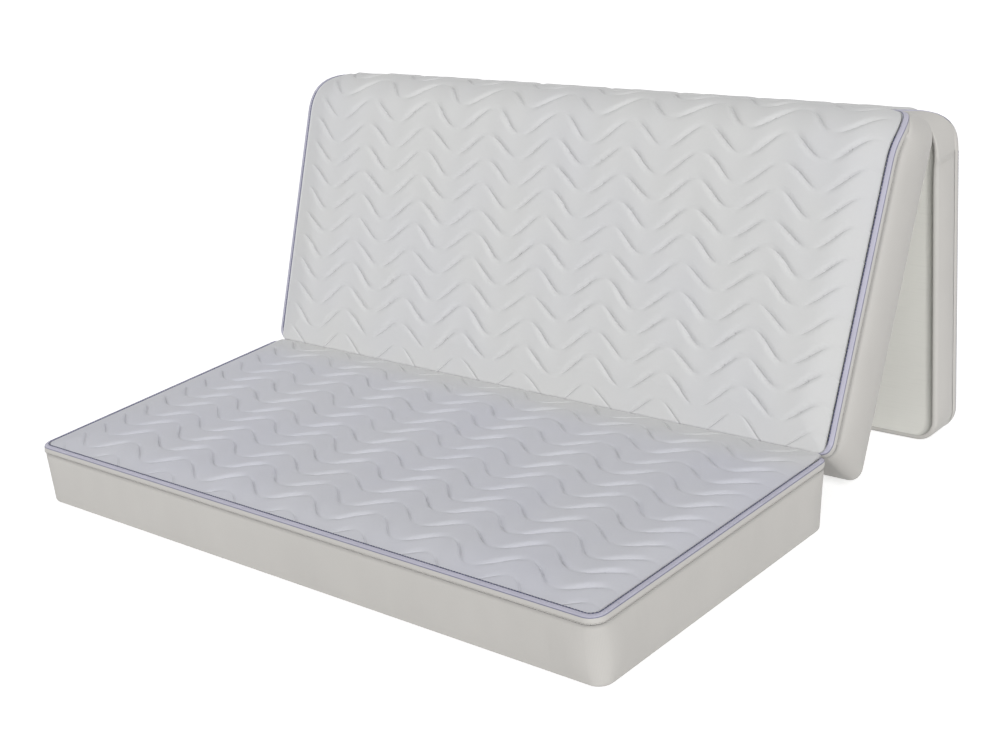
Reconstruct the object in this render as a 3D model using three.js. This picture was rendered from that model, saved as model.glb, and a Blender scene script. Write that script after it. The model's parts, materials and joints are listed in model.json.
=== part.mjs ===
// A folding mattress of three padded panels, set up as a seat with a back.
// The seat panel lies on the floor. The back panel leans away from it, hinged
// along the top edges where the two covers meet. The rear panel hangs behind
// the back panel, hinged along their undersides, and its foot stands on the floor.
// Sizes are millimetres and angles are radians. X runs across the mattress,
// Y to the rear and Z up, with the origin on the floor under the middle.
//
// Each panel is made in its own frame: x across, y from its low end to its high
// end, z from its underside to its quilted face. The seat's low end is its front.
// The low ends of the back and rear panels are their feet.

import * as THREE from "three";

// Driving sizes of the mattress
const WIDTH = 1400;
const SPREAD_WIDTH = 1450;
const SEAT_DEPTH = 635;
const BACK_LENGTH = 600;
const THICKNESS = 120;
const REAR_THICKNESS = 75;
const BACK_LEAN = THREE.MathUtils.degToRad(24);

// Corners and edges
const FREE_CORNER = 45;
const FOLD_CORNER = 24;
const TOP_CORNER = 120;
const TOP_ROUND = 98;
const REAR_ROUND = 55;
const FOLD_SLANT = 30;
const FOAM_CORNER = 65;
const UNDER_EDGE = 18;
const HINGE_EDGE = 1;
const LIP = 2;
const LIP_BEVEL = 1;

// Layers, from the underside to the quilted face
const CLOTH = 4;
const CORE_TOP = 84;
const REAR_CORE_TOP = 42;
const QUILT = 14;
const TAPE_WIDTH = 11.5;
const TAPE_BEVEL = 0.5;

// Quilting: channels across the panel, each a wave, over a crowned face
const CHANNEL_PITCH = 50;
const CHANNEL_PUFF = 5;
const WAVE_LENGTH = 167;
const WAVE_RISE = 20;
const CROWN = 8;
const EDGE_RUN = 70;
const EDGE_STEP = 7;

// Stitching along both edges of the tape: one line on its top and one on its outer
// side, or both on its top where the panel stands on its end
const THREAD = 1.2;
const STITCH_INSET = 2;
const STITCH_STOP = 12;

// Clearances between pieces that touch on the real mattress
const GAP = 0.3;
const SEAM_GAP = 0.8;
const ARC_GAP = 1.5;

// How finely round stretches are cut
const LOOP_CORNER_STEPS = 12;
const FOAM_CORNER_STEPS = 5;
const TOP_ROUND_STOPS = 3;
const UNDER_EDGE_STEPS = 3;
const FOAM_ROUND_STEPS = 4;
const STOPS_PER_WAVE = 4;

// The waves cross the panel's middle at a crest and end halfway down at its sides
const HALF_WAVE_SHARE = 0.5;

// How far a corner has turned towards the high end, as a share of its whole turn,
// where the border's top edge leaves the side's rule and where it keeps the end's
const TURN_START_SHARE = 0.2;
const TURN_END_SHARE = 0.9;

const COLOURS = {
  quilt: [0xd2d2d3, 0.85],
  border: [0xc9c6bf, 0.8],
  tape: [0xb8b4c6, 0.6],
  underside: [0xc8c2b6, 0.9],
  foam: [0xe6dfc4, 0.95],
  wadding: [0xf0f0ee, 0.95],
  thread: [0x4d5578, 0.5],
};

// The band round each quilted face that the tape fills
const band = SEAM_GAP + TAPE_WIDTH;
const backRise = THICKNESS + BACK_LENGTH * Math.cos(BACK_LEAN) - THICKNESS * Math.sin(BACK_LEAN);
const backReach = BACK_LENGTH * Math.sin(BACK_LEAN) + THICKNESS * Math.cos(BACK_LEAN);

// Half a gap is left on each panel at every hinge line
const hingeGap = GAP / 2;

const PANELS = {
  seat: {
    length: SEAT_DEPTH - hingeGap,
    thickness: THICKNESS,
    coreTop: CORE_TOP,
    lowWidth: WIDTH,
    highWidth: WIDTH,
    lowCorner: FREE_CORNER,
    highCorner: FOLD_CORNER,
    highRound: 0,
    highEdge: UNDER_EDGE,
    lowSlant: 0,
    highSlant: FOLD_SLANT,
  },
  back: {
    length: BACK_LENGTH - 2 * hingeGap,
    thickness: THICKNESS,
    coreTop: CORE_TOP,
    lowWidth: WIDTH,
    highWidth: SPREAD_WIDTH,
    lowCorner: FOLD_CORNER,
    highCorner: TOP_CORNER,
    highRound: TOP_ROUND,
    highEdge: HINGE_EDGE,
    lowSlant: FOLD_SLANT,
    highSlant: 0,
  },
  rear: {
    standsOnEnd: true,
    length: backRise - hingeGap,
    thickness: REAR_THICKNESS,
    coreTop: REAR_CORE_TOP,
    lowWidth: WIDTH,
    highWidth: SPREAD_WIDTH,
    lowCorner: FREE_CORNER,
    highCorner: TOP_CORNER,
    highRound: REAR_ROUND,
    highEdge: HINGE_EDGE,
    lowSlant: 0,
    highSlant: 0,
  },
};

// The quilted face of a panel is a flat sheet whose high end may bend down over
// a quarter round. A place on it is x across and u along the sheet, and lift is
// the height above it, square to the sheet.
function sheetPoint(panel, x, u, lift) {
  const flat = panel.length - panel.highRound;
  const past = Math.max(0, u - flat);
  const turn = panel.highRound > 0 ? Math.min(past / panel.highRound, Math.PI / 2) : 0;
  const down = Math.max(0, past - (panel.highRound * Math.PI) / 2);
  const y = Math.min(u, flat) + (panel.highRound + lift) * Math.sin(turn);
  const z = panel.thickness - panel.highRound * (1 - Math.cos(turn)) - down + lift * Math.cos(turn);
  return new THREE.Vector3(x, y, z);
}

// Where the quilt ends and the tape begins, along the sheet
function seamLimits(panel) {
  const flat = panel.length - panel.highRound;
  const high = panel.highRound > 0 ? flat + (panel.highRound * Math.PI) / 2 : panel.length - band;
  return { low: band, high, half: WIDTH / 2 - band };
}

// One round corner of a loop on the sheet, from one angle to the next quarter
function cornerStations(centreX, centreU, radius, start) {
  const stations = [];
  for (let i = 0; i <= LOOP_CORNER_STEPS; i += 1) {
    const angle = start + (i / LOOP_CORNER_STEPS) * (Math.PI / 2);
    const out = new THREE.Vector2(Math.cos(angle), Math.sin(angle));
    stations.push({ x: centreX + radius * out.x, u: centreU + radius * out.y, out });
  }
  return stations;
}

// The seam between quilt and tape, as a closed loop of places on the sheet, each
// with its direction out of the quilt. It runs down the left side, along the low
// end, up the right side and back along the high end.
function seamLoop(panel) {
  const { low, high, half } = seamLimits(panel);
  const lowRadius = panel.lowCorner - band;
  const highRadius = panel.highCorner - band;
  const flat = panel.length - panel.highRound;
  const sideStops = [Math.min(flat, high - highRadius) - STITCH_STOP];
  const bend = high - highRadius - flat;
  if (panel.highRound > 0 && bend > 0) {
    for (let i = 0; i < TOP_ROUND_STOPS; i += 1) {
      sideStops.push(flat + (bend * i) / TOP_ROUND_STOPS);
    }
  }
  const side = (sign, stops) => stops.map((u) => ({ x: sign * half, u, out: new THREE.Vector2(sign, 0) }));
  const left = side(-1, [...sideStops].reverse());
  const right = side(1, sideStops);
  const lowLeft = cornerStations(lowRadius - half, low + lowRadius, lowRadius, Math.PI);
  const lowRight = cornerStations(half - lowRadius, low + lowRadius, lowRadius, 1.5 * Math.PI);
  const highRight = cornerStations(half - highRadius, high - highRadius, highRadius, 0);
  const highLeft = cornerStations(highRadius - half, high - highRadius, highRadius, Math.PI / 2);
  return {
    all: [...left, ...lowLeft, ...lowRight, ...right, ...highRight, ...highLeft],
    roundLowEnd: [...left, ...lowLeft, ...lowRight, ...right],
    leftSide: [...left, lowLeft[0]],
    rightSide: [lowRight[LOOP_CORNER_STEPS], ...right],
  };
}

// A place beside the seam, a distance out of the quilt and above the sheet
function besideSeam(panel, station, out, lift) {
  return sheetPoint(panel, station.x + out * station.out.x, station.u + out * station.out.y, lift);
}

// Makes a closed solid from points and triangles, with its faces turned outward
function solid(points, triangles) {
  let volume = 0;
  const cross = new THREE.Vector3();
  for (const [a, b, c] of triangles) {
    volume += points[a].dot(cross.crossVectors(points[b], points[c]));
  }
  const outward = volume > 0 ? triangles : triangles.map(([a, b, c]) => [a, c, b]);
  const geometry = new THREE.BufferGeometry();
  geometry.setAttribute("position", new THREE.Float32BufferAttribute(points.flatMap((p) => p.toArray()), 3));
  geometry.setIndex(outward.flat());
  return geometry;
}

// Joins sections of equal size one after another. A closed sweep ends where it
// began, and an open one has flat ends.
function sweep(sections, closed) {
  const size = sections[0].length;
  const triangles = [];
  const last = closed ? sections.length : sections.length - 1;
  for (let i = 0; i < last; i += 1) {
    const here = i * size;
    const there = ((i + 1) % sections.length) * size;
    for (let k = 0; k < size; k += 1) {
      const next = (k + 1) % size;
      triangles.push([here + k, there + k, there + next], [here + k, there + next, here + next]);
    }
  }
  if (!closed) {
    const end = (sections.length - 1) * size;
    for (let k = 1; k < size - 1; k += 1) {
      triangles.push([0, k, k + 1], [end, end + k + 1, end + k]);
    }
  }
  return solid(sections.flat(), triangles);
}

// Stacks outlines with equally many points into a solid with flat ends
function stack(outlines) {
  return sweep(outlines, false);
}

// Outline of a foam layer at one height, drawn in from the panel's sides and
// low end by one distance and from its high end by another
function foamOutline(panel, height, inset, highInset) {
  const half = WIDTH / 2 - inset;
  const corners = [
    [-1, inset, panel.lowCorner - inset, Math.PI],
    [1, inset, panel.lowCorner - inset, 1.5 * Math.PI],
    [1, panel.length - highInset, -foamCorner(panel, inset), 0],
    [-1, panel.length - highInset, -foamCorner(panel, inset), Math.PI / 2],
  ];
  const points = [];
  for (const [side, end, reach, start] of corners) {
    const radius = Math.abs(reach);
    for (let i = 0; i <= FOAM_CORNER_STEPS; i += 1) {
      const angle = start + (i / FOAM_CORNER_STEPS) * (Math.PI / 2);
      const x = side * (half - radius) + radius * Math.cos(angle);
      points.push(new THREE.Vector3(x, end + reach + radius * Math.sin(angle), height));
    }
  }
  return points;
}

function foamCorner(panel, inset) {
  return (panel.highRound > 0 ? FOAM_CORNER : panel.highCorner) - inset;
}

// How far a foam layer stays in from the panel's sides and low end at one height,
// more beside the rounded edges of the underside
function foamSideInset(height) {
  const side = CLOTH + GAP;
  const bevel = UNDER_EDGE + LIP_BEVEL + GAP;
  return Math.max(side, side + bevel - height);
}

// How far a foam layer stays back from the high end at one height, so that it
// clears the border, the tape and the bent part of the quilt
function foamHighInset(panel, height) {
  if (panel.highRound === 0) {
    return foamSideInset(height);
  }
  const radius = panel.highRound - QUILT - ARC_GAP;
  const above = Math.max(0, height - panel.thickness + panel.highRound);
  const bent = panel.highRound - Math.sqrt(Math.max(0, radius * radius - above * above));
  return Math.max(foamSideInset(height), bent);
}

// A foam layer between two heights, with outlines where its sides change
function foamLayer(panel, from, to) {
  const bevel = foamSideInset(0) - CLOTH - GAP;
  const bendLow = panel.thickness - panel.highRound;
  const heights = [from];
  if (from < bevel) {
    heights.push(bevel);
  }
  if (panel.highRound > 0) {
    const first = Math.max(from, bendLow, bevel);
    for (let i = first > Math.max(from, bevel) ? 0 : 1; i < FOAM_ROUND_STEPS; i += 1) {
      heights.push(first + ((to - first) * i) / FOAM_ROUND_STEPS);
    }
  }
  heights.push(to);
  return stack(
    heights.map((height) => foamOutline(panel, height, foamSideInset(height), foamHighInset(panel, height))),
  );
}

function foamCore(panel) {
  return foamLayer(panel, CLOTH + GAP, panel.coreTop);
}

function comfortLayer(panel) {
  return foamLayer(panel, panel.coreTop + GAP, panel.thickness - QUILT - ARC_GAP);
}

// Half width of the quilt at a place along the sheet, less at its round corners
function quiltHalfWidth(panel, u) {
  const { low, high, half } = seamLimits(panel);
  const cut = (radius, run) => (run < radius ? radius - Math.sqrt(radius * radius - (radius - run) ** 2) : 0);
  return half - cut(panel.lowCorner - band, u - low) - cut(panel.highCorner - band, high - u);
}

// Rows of the quilt's mesh: a straight one at each end and another close by,
// then the stitched lines and the crests between them, which run in waves
function quiltRows(panel) {
  const { low, high } = seamLimits(panel);
  const channels = Math.round((high - low) / CHANNEL_PITCH);
  const pitch = (high - low) / channels;
  const rows = [{ u: low, wave: 0, puff: 0 }, { u: low + EDGE_STEP, wave: 0, puff: 0 }];
  for (let i = 1; i < 2 * channels; i += 1) {
    const run = (Math.min(i, 2 * channels - i) * pitch) / 2;
    const wave = WAVE_RISE * Math.min(1, run / pitch);
    rows.push({ u: low + (i * pitch) / 2, wave, puff: i % 2 === 1 ? CHANNEL_PUFF : 0 });
  }
  rows.push({ u: high - EDGE_STEP, wave: 0, puff: 0 }, { u: high, wave: 0, puff: 0 });
  return rows;
}

// Height of the quilt above the sheet. The crown falls off as a fourth power
// towards the sides and ends, and all of it is drawn down to the tape.
function quiltLift(panel, x, u, puff) {
  const { low, high, half } = seamLimits(panel);
  const across = Math.abs(x) / half;
  const along = Math.abs(2 * u - low - high) / (high - low);
  const crown = CROWN * (1 - across ** 4) * (1 - along ** 4);
  const run = Math.max(0, Math.min(half - Math.abs(x), u - low, high - u));
  return (crown + puff) * Math.min(1, run / EDGE_RUN);
}

function quilt(panel) {
  const { half } = seamLimits(panel);
  const rows = quiltRows(panel);
  const waves = Math.round((2 * half) / WAVE_LENGTH - HALF_WAVE_SHARE) + HALF_WAVE_SHARE;
  const columns = Math.round(waves * STOPS_PER_WAVE);
  const points = [];
  const triangles = [];
  const top = [];
  const under = [];
  rows.forEach((row, r) => {
    const shrink = quiltHalfWidth(panel, row.u) / half;
    const topRow = [];
    const underRow = [];
    for (let c = 0; c <= columns; c += 1) {
      const x = half * ((2 * c) / columns - 1);
      const u = row.u + row.wave * Math.cos((2 * Math.PI * waves * x) / (2 * half));
      topRow.push(points.push(sheetPoint(panel, x * shrink, u, quiltLift(panel, x, u, row.puff))) - 1);
      if (r === 0 || r === rows.length - 1 || c === 0 || c === columns) {
        underRow.push(points.push(sheetPoint(panel, x * shrink, row.u, -QUILT)) - 1);
      }
    }
    top.push(topRow);
    under.push(underRow);
  });
  const end = columns;
  for (let r = 0; r < rows.length - 1; r += 1) {
    for (let c = 0; c < columns; c += 1) {
      const [a, b, d, e] = [top[r][c], top[r][c + 1], top[r + 1][c], top[r + 1][c + 1]];
      triangles.push([a, b, e], [a, e, d]);
    }
    const left = [top[r][0], top[r + 1][0], under[r][0], under[r + 1][0]];
    const right = [top[r][end], top[r + 1][end], under[r].at(-1), under[r + 1].at(-1)];
    triangles.push([left[0], left[1], left[3]], [left[0], left[3], left[2]]);
    triangles.push([right[0], right[3], right[1]], [right[0], right[2], right[3]]);
  }
  for (const [edge, beside, flip] of [[0, 1, false], [rows.length - 1, rows.length - 2, true]]) {
    const inner = [under[beside][0], under[beside].at(-1)];
    const add = (a, b, c) => triangles.push(flip ? [a, c, b] : [a, b, c]);
    for (let c = 0; c < columns; c += 1) {
      add(top[edge][c], under[edge][c], under[edge][c + 1]);
      add(top[edge][c], under[edge][c + 1], top[edge][c + 1]);
      add(under[edge][c], inner[0], under[edge][c + 1]);
    }
    add(under[edge][end], inner[0], inner[1]);
  }
  for (let r = 1; r < rows.length - 2; r += 1) {
    const [a, b] = under[r];
    const [d, e] = under[r + 1];
    triangles.push([a, d, e], [a, e, b]);
  }
  return solid(points, triangles);
}

function tape(panel) {
  const section = [
    [SEAM_GAP, -QUILT],
    [band, -QUILT],
    [band, -TAPE_BEVEL],
    [band - TAPE_BEVEL, 0],
    [SEAM_GAP, 0],
  ];
  const sections = seamLoop(panel).all.map((station) =>
    section.map(([out, lift]) => besideSeam(panel, station, out, lift)),
  );
  return sweep(sections, true);
}

// The panel's outline seen from above, below the outer edge of the tape, with
// the direction out of the panel and the height of the border's top at each point
function planLoop(panel) {
  const stations = seamLoop(panel).all;
  const outline = stations.map((station) => {
    const edge = besideSeam(panel, station, band, 0);
    return new THREE.Vector2(edge.x, edge.y);
  });
  return outline.map((point, i) => {
    const before = outline[(i + outline.length - 1) % outline.length];
    const after = outline[(i + 1) % outline.length];
    const along = point.clone().sub(before).normalize().add(after.clone().sub(point).normalize());
    const out = new THREE.Vector2(along.y, -along.x).normalize();
    return { point, out, top: borderTop(panel, stations[i], point.y) };
  });
}

// Radius of the rounded edge between border and underside, which is nearly
// sharp at an end that hinges along the underside
function underEdge(panel, y) {
  const blend = THREE.MathUtils.smoothstep(y, panel.length - TOP_CORNER, panel.length - HINGE_EDGE);
  return THREE.MathUtils.lerp(UNDER_EDGE, panel.highEdge, blend);
}

// Top edge of the border, under the tape. On a side it follows a quarter ellipse
// where the tape bends down towards the high end. At the high end and round its
// corners it stays just below the tape's own lower edge.
function borderTop(panel, station, y) {
  const beneath = besideSeam(panel, station, band, -QUILT).z - GAP;
  if (panel.highRound === 0) {
    return beneath;
  }
  const bendLow = panel.thickness - panel.highRound;
  const sideTop = panel.thickness - QUILT - GAP;
  const reach = panel.highRound - QUILT - ARC_GAP;
  const share = Math.min(1, Math.max(0, y - panel.length + panel.highRound) / reach);
  const bent = bendLow + (sideTop - bendLow) * Math.sqrt(1 - share * share);
  const turned = THREE.MathUtils.smoothstep(station.out.y, TURN_START_SHARE, TURN_END_SHARE);
  return THREE.MathUtils.lerp(bent, beneath, turned);
}

function border(panel) {
  const sections = planLoop(panel).map(({ point, out, top }) => {
    const edge = underEdge(panel, point.y);
    const fold = Math.max(edge, CLOTH) + LIP_BEVEL;
    const section = [];
    for (let i = 0; i <= UNDER_EDGE_STEPS; i += 1) {
      const angle = (i / UNDER_EDGE_STEPS) * (Math.PI / 2);
      section.push([edge * (1 - Math.cos(angle)), edge * (1 - Math.sin(angle))]);
    }
    section.push([fold + LIP, 0], [fold + LIP, CLOTH], [fold, CLOTH], [CLOTH, fold]);
    section.push([CLOTH, top], [0, top]);
    return section.map(([inset, z]) => {
      const place = point.clone().addScaledVector(out, -inset);
      return new THREE.Vector3(place.x, place.y, z);
    });
  });
  return sweep(sections, true);
}

function underside(panel) {
  const outline = planLoop(panel).map(({ point, out }) => {
    const inset = Math.max(underEdge(panel, point.y), CLOTH) + LIP_BEVEL + LIP + GAP;
    return point.clone().addScaledVector(out, -inset);
  });
  return new THREE.ExtrudeGeometry(new THREE.Shape(outline), { depth: CLOTH, bevelEnabled: false });
}

// A line of thread along the seam, square in section, with its centre at a
// distance out of the quilt and above the sheet
function stitching(panel, stations, out, lift) {
  const section = [
    [-THREAD / 2, -THREAD / 2],
    [THREAD / 2, -THREAD / 2],
    [THREAD / 2, THREAD / 2],
    [-THREAD / 2, THREAD / 2],
  ];
  const sections = stations.map((station) =>
    section.map(([aside, above]) => besideSeam(panel, station, out + aside, lift + above)),
  );
  return sweep(sections, false);
}

// Widens a panel towards its high end, in proportion along its length, and slants
// its ends: the underside is drawn back towards the low end by the end's slant, and
// the quilted face stays
function shape(panel, geometry) {
  const place = geometry.getAttribute("position");
  for (let i = 0; i < place.count; i += 1) {
    const share = place.getY(i) / panel.length;
    const below = 1 - place.getZ(i) / panel.thickness;
    const slant = THREE.MathUtils.lerp(panel.lowSlant, panel.highSlant, share);
    place.setX(i, (place.getX(i) * THREE.MathUtils.lerp(panel.lowWidth, panel.highWidth, share)) / WIDTH);
    place.setY(i, place.getY(i) - slant * below);
  }
  return geometry;
}

function piece(name, panel, geometry, [colour, roughness]) {
  const material = new THREE.MeshStandardMaterial({ color: colour, roughness, metalness: 0 });
  const mesh = new THREE.Mesh(shape(panel, geometry), material);
  mesh.name = name;
  return mesh;
}

// All pieces of one panel, in the panel's own frame
function panelPieces(name) {
  const panel = PANELS[name];
  const group = new THREE.Group();
  group.add(
    piece(`${name}_underside`, panel, underside(panel), COLOURS.underside),
    piece(`${name}_border`, panel, border(panel), COLOURS.border),
    piece(`${name}_foam_core`, panel, foamCore(panel), COLOURS.foam),
    piece(`${name}_comfort_layer`, panel, comfortLayer(panel), COLOURS.wadding),
    piece(`${name}_quilt`, panel, quilt(panel), COLOURS.quilt),
    piece(`${name}_tape`, panel, tape(panel), COLOURS.tape),
  );
  const seam = seamLoop(panel);
  const runs = name === "back" ? { left_: seam.leftSide, right_: seam.rightSide } : { "": seam.roundLowEnd };
  const proud = GAP + THREAD / 2;
  const onTop = [band - STITCH_INSET, proud];
  const onSide = [band + proud, STITCH_INSET - QUILT];
  const lines = { inner: [SEAM_GAP + STITCH_INSET, proud], outer: panel.standsOnEnd ? onTop : onSide };
  for (const [side, stations] of Object.entries(runs)) {
    for (const [line, [out, lift]] of Object.entries(lines)) {
      const thread = stitching(panel, stations, out, lift);
      group.add(piece(`${name}_stitching_${side}${line}`, panel, thread, COLOURS.thread));
    }
  }
  return group;
}

function seatPanel() {
  const seat = panelPieces("seat");
  seat.position.set(0, -SEAT_DEPTH, 0);
  return seat;
}

// The back panel turns about the seat's top rear edge, the line y = 0, z = THICKNESS
function backPanel() {
  const back = panelPieces("back");
  back.position.set(0, hingeGap, -THICKNESS);
  const hinge = new THREE.Group();
  hinge.position.set(0, 0, THICKNESS);
  hinge.rotation.x = Math.PI / 2 - BACK_LEAN;
  hinge.add(back);
  return hinge;
}

// The rear panel stands upright behind the back panel's top edge, its quilted
// face to the rear
function rearPanel() {
  const rear = panelPieces("rear");
  rear.rotation.set(-Math.PI / 2, 0, Math.PI);
  rear.position.set(0, backReach, 0);
  return rear;
}

const mattress = new THREE.Group();
mattress.add(seatPanel(), backPanel(), rearPanel());

// The origin is under the middle of the whole depth
const bounds = new THREE.Box3().setFromObject(mattress, true);
mattress.position.y = -(bounds.min.y + bounds.max.y) / 2;

const part = new THREE.Group();
part.add(mattress);

export default part;
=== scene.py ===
"""Dresses a folding mattress: quilted covers, padded borders, binding tape, stitching
and foam, on the fixed frame of its three hinged panels. All lengths are metres."""

import json
import math

import bpy
import numpy as np
from bpy.props import FloatProperty, FloatVectorProperty, PointerProperty
from mathutils import Matrix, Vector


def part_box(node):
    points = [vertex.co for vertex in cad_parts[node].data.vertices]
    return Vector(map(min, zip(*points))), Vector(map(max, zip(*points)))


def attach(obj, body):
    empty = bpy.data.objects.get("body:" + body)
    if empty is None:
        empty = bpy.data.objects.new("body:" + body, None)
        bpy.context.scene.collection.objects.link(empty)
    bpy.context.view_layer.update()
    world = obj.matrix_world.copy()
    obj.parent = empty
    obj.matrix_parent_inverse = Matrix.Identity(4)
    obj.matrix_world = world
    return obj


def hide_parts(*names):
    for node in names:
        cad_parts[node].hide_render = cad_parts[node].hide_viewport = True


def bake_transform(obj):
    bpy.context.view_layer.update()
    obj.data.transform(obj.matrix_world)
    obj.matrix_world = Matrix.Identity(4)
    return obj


bl_info = {
    "name": "Folding mattress",
    "version": (1, 0, 0),
    "blender": (4, 5, 0),
    "location": "View3D > Sidebar > Mattress",
    "description": "Covers, tape, stitching and foam of a folding mattress, with its studio",
    "category": "Object",
}

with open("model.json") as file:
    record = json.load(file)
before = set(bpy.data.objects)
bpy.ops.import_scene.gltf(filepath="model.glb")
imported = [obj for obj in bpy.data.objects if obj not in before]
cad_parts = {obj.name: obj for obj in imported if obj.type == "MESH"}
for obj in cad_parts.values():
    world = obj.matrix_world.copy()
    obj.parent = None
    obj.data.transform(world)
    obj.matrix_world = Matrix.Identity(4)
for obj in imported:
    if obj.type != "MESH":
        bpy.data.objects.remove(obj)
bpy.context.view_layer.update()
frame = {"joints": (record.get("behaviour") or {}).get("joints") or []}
SEAT_LOW, SEAT_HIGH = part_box("seat_border")
FOLDS = {joint["name"]: joint for joint in frame["joints"]}


# Sizes and colours that a user may change


class MattressSizes(bpy.types.PropertyGroup):
    """Sizes of the mattress that its covers are cut to."""

    width: FloatProperty(
        name="Width", unit="LENGTH", default=SEAT_HIGH.x - SEAT_LOW.x,
        description="Width of the seat panel, across the mattress")
    top_width: FloatProperty(
        name="Top width", unit="LENGTH", default=1.45,
        description="Width of the back and rear panels where they meet at the top")
    thickness: FloatProperty(
        name="Thickness", unit="LENGTH", default=0.12,
        description="Height of the seat and back panels from underside to tape")
    rear_thickness: FloatProperty(
        name="Rear thickness", unit="LENGTH", default=0.075,
        description="Height of the rear panel from underside to tape")
    lean: FloatProperty(
        name="Back lean", subtype="ANGLE", default=math.radians(24),
        description="How far the back panel leans from upright in the set-up position")
    tape_width: FloatProperty(
        name="Tape width", unit="LENGTH", default=0.0115,
        description="Width of the binding tape on the quilted face")
    pitch: FloatProperty(
        name="Channel pitch", unit="LENGTH", default=0.05,
        description="Distance between two stitched waves of the quilting")
    wave_length: FloatProperty(
        name="Wave length", unit="LENGTH", default=0.167,
        description="Length of one wave of the quilting, across the panel")
    wave_rise: FloatProperty(
        name="Wave rise", unit="LENGTH", default=0.022,
        description="Height of a quilting wave above its middle line")
    puff: FloatProperty(
        name="Channel puff", unit="LENGTH", default=0.006,
        description="How far the wadding stands up between two stitched waves")
    crown: FloatProperty(
        name="Crown", unit="LENGTH", default=0.008,
        description="The most that a quilted face may swell above the tape")
    bulge: FloatProperty(
        name="Border bulge", unit="LENGTH", default=0.006,
        description="The most that the seat's and rear panel's borders may swell out")
    back_bulge: FloatProperty(
        name="Back border bulge", unit="LENGTH", default=0.012,
        description="The most that the back's border may swell out")
    mesh_step: FloatProperty(
        name="Mesh step", unit="LENGTH", default=0.0034,
        description="Spacing of the quilted face's mesh")
    stitch: FloatProperty(
        name="Stitch length", unit="LENGTH", default=0.0046,
        description="Length of one stitch on the binding tape")


class MattressColours(bpy.types.PropertyGroup):
    """Colours of the mattress, in linear light."""

    quilt: FloatVectorProperty(
        name="Quilted cloth", subtype="COLOR", default=(0.63, 0.632, 0.628),
        description="Knitted face of the quilted covers")
    # Cooler, darker tone of the quilted cloth: in random patches it is the cloth's own tone, and on the
    # seat and in the creases it is painted shade.
    quilt_patches_and_painted_shade: FloatVectorProperty(
        name="Quilted cloth, shaded", subtype="COLOR", default=(0.585, 0.59, 0.655),
        description="Cooler tone that the quilted cloth takes in patches")
    border: FloatVectorProperty(
        name="Border cloth", subtype="COLOR", default=(0.542, 0.527, 0.503),
        description="Smooth cloth round the sides of each panel")
    tape: FloatVectorProperty(
        name="Binding tape", subtype="COLOR", default=(0.51, 0.50, 0.60),
        description="Woven tape over the seam of quilt and border")
    # Dark line along both edges of the tape: partly its own edge colour, partly painted shade of the seam
    # groove.
    tape_edge_and_seam_shade: FloatVectorProperty(
        name="Tape edge", subtype="COLOR", default=(0.16, 0.165, 0.25),
        description="Darker selvedge along both edges of the tape")
    underside: FloatVectorProperty(
        name="Underside cloth", subtype="COLOR", default=(0.775, 0.77, 0.725),
        description="Woven cloth under each panel")
    foam: FloatVectorProperty(
        name="Foam", subtype="COLOR", default=(0.76, 0.70, 0.52),
        description="Foam core")
    wadding: FloatVectorProperty(
        name="Wadding", subtype="COLOR", default=(0.84, 0.84, 0.82),
        description="Comfort layer under the quilt")
    thread: FloatVectorProperty(
        name="Thread", subtype="COLOR", default=(0.085, 0.095, 0.19),
        description="Stitching thread")


class MattressStudio(bpy.types.PropertyGroup):
    """The studio that the mattress is shown in."""

    key_light: FloatProperty(
        name="Key light", default=2.24,
        description="Strength of the soft light from beside the camera")
    fill_light: FloatProperty(
        name="Fill light", default=0.21,
        description="Strength of the soft light from behind")
    surround: FloatProperty(
        name="Surround", default=0.4,
        description="Strength of the light that comes evenly from all round")
    focal_length: FloatProperty(
        name="Focal length", default=1788.0,
        description="Focal length in pixels of an image 1000 pixels wide")


QUARTER = math.pi / 2

# Corners of the panels seen from above, and the bends of their high ends
SEAT_CORNER = 0.028
FREE_CORNER = 0.045
FOLD_CORNER = 0.024
TOP_CORNER = 0.12
FOAM_CORNER = 0.065
TOP_ROUND = 0.098
REAR_ROUND = 0.055

# How far the ends that fold are drawn back at the underside
FOLD_SLANT = 0.03
FOOT_SLANT = 0.045

# Radii of the lower edges, and the lip that the border has round the underside
UNDER_EDGE = 0.018
COVER_EDGE = 0.007
HINGE_EDGE = 0.001
LIP = 0.002
LIP_BEVEL = 0.001

# Thickness of cloth, quilt and thread, and heights of the foam cores
CLOTH = 0.004
QUILT = 0.014
THREAD = 0.0012
CORE_TOP = 0.084
REAR_CORE_TOP = 0.042

# Clearances between pieces, along the seam and along the bend
GAP = 0.0003
SEAM_GAP = 0.0008
ARC_GAP = 0.0015

# The tape: its corner, how far it reaches round the edge, its arched faces, and how
# much deeper it lies where two quilted faces fold together
TAPE_RADIUS = 0.0035
TAPE_REACH = 0.0122
TAPE_ARCH = 0.0007
TAPE_DIP = 0.0008
TAPE_SINK = 0.0022

# Where the stitches lie on the tape, in from its edges and above it
STITCH_INSET = 0.002
STITCH_LIFT = 0.0005

# Spacing of stations along the seam: for bands, and for stitches and undersides
SEAM_STEP = 0.012
FINE_STEP = 0.004

# How far the quilt takes to rise from the tape, and how it laps over the tape where
# two quilted faces fold together
EDGE_RUN = 0.07
FOLD_LAP = 0.0108
FOLD_RUN = 0.05
FOLD_RISE = 0.16
FOLD_REST = 0.0014

# Reaches of the cloth strips to each side of a fold
FRONT_FOLD_REACH = 0.006
TOP_FOLD_REACH = 0.016

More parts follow.
